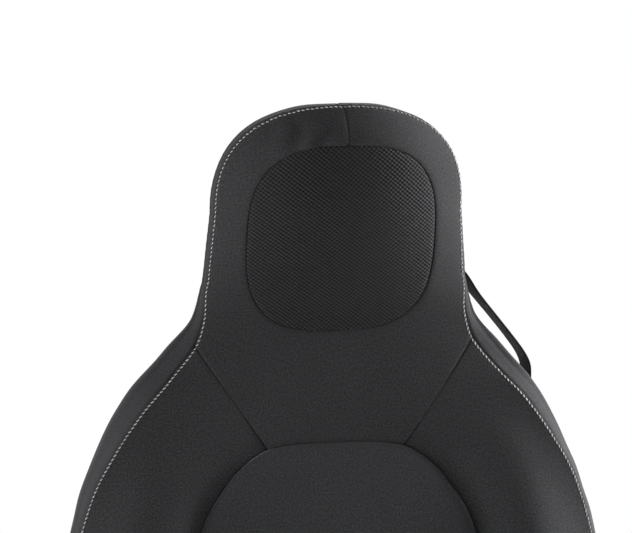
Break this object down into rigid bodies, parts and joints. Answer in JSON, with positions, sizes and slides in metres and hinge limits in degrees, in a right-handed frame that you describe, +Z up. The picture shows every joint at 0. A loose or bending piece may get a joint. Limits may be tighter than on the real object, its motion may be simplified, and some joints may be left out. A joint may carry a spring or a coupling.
{
  "type": "racing seat",
  "caption": "Sports seat with a built-in head restraint, side bolsters, slide rails, a reclining backrest and a belt guide strap",
  "frame": {"origin": "centre of the rectangle of floor bolts, on the floor plane under the feet", "axes": "+Z up, the seat faces -Y, +X is the sitter's left: the side of the recliner lever and the belt guide"},
  "size_m": [0.556, 0.6729, 1.07],
  "materials": {
    "frame_black": "satin black paint over pressed steel",
    "lower_rail_steel": "phosphated sheet steel, lightly oiled",
    "upper_rail_steel": "zinc-plated sheet steel",
    "bright_steel": "bright zinc-plated steel",
    "recliner_zinc": "yellow passivated steel",
    "glide_plastic": "natural acetal",
    "foam": null,
    "cover_fabric": "charcoal heathered woven cloth with whitish topstitching on the edge seams",
    "head_knit": "darker ribbed knit",
    "trim_plastic": "black moulded plastic with a fine grain",
    "screw_black": "black oxide screw",
    "grip_rubber": "black rubber sleeve",
    "webbing": "black woven webbing"
  },
  "bodies": {
    "floor_rails": {"foot_front_left": "frame_black", "foot_front_right": "frame_black", "foot_rear_left": "frame_black", "foot_rear_right": "frame_black", "foot_rivets": "bright_steel", "rail_lower_left": "lower_rail_steel", "rail_lower_right": "lower_rail_steel"},
    "seat_base": {"rail_upper_left": "upper_rail_steel", "rail_upper_right": "upper_rail_steel", "rail_glides": "glide_plastic", "slider_bolts": "bright_steel", "slider_nuts": "bright_steel", "base_side_left": "frame_black", "base_side_right": "frame_black", "front_cross_tube": "frame_black", "rear_cross_tube": "frame_black", "seat_pan": "lower_rail_steel", "seat_foam": "foam", "seat_centre_panel": "cover_fabric", "seat_bolster_left": "cover_fabric", "seat_bolster_right": "cover_fabric", "seat_skirt": "cover_fabric", "valance_left": "trim_plastic", "valance_right": "trim_plastic", "valance_screws": "screw_black", "recliner_base_left": "recliner_zinc", "recliner_base_right": "recliner_zinc", "bar_pivots": "bright_steel"},
    "slide_bar_unit": {"slide_bar": "frame_black", "slide_bar_grip": "grip_rubber", "slide_latches": "bright_steel"},
    "release": {"release_shaft": "bright_steel", "recline_lever": "trim_plastic", "lever_cap": "frame_black", "shaft_clip": "bright_steel"},
    "backrest": {"recliner_back_left": "recliner_zinc", "recliner_back_right": "recliner_zinc", "back_side_left": "frame_black", "back_side_right": "frame_black", "lower_cross_tube": "frame_black", "upper_cross_tube": "frame_black", "head_hoop": "frame_black", "head_plate": "frame_black", "spring_mat": "bright_steel", "back_foam": "foam", "centre_panel": "cover_fabric", "head_mesh_panel": "head_knit", "head_cover": "cover_fabric", "shoulder_cover_left": "cover_fabric", "shoulder_cover_right": "cover_fabric", "side_cover_left": "cover_fabric", "side_cover_right": "cover_fabric", "back_board": "trim_plastic", "board_screws": "screw_black", "belt_guide_strap": "webbing", "strap_anchor": "trim_plastic", "strap_stud": "trim_plastic"}
  },
  "joints": [
    {"name": "seat_travel", "type": "slide", "parent": "floor_rails", "child": "seat_base", "axis": [0, -1, 0], "range_m": [-0.1, 0.1]},
    {"name": "slide_bar_lift", "type": "hinge", "parent": "seat_base", "child": "slide_bar_unit", "pos_m": [0, -0.11, 0.092], "axis": [-1, 0, 0], "range_deg": [0, 12], "stiffness_Nm_per_rad": 3, "springref_deg": -34.38},
    {"name": "recliner_release", "type": "hinge", "parent": "seat_base", "child": "release", "pos_m": [0, 0.175, 0.235], "axis": [-1, 0, 0], "range_deg": [0, 25], "stiffness_Nm_per_rad": 1.2, "springref_deg": -34.38},
    {"name": "backrest_recline", "type": "hinge", "parent": "seat_base", "child": "backrest", "pos_m": [0, 0.175, 0.235], "axis": [1, 0, 0], "range_deg": [-42, 40]}
  ]
}
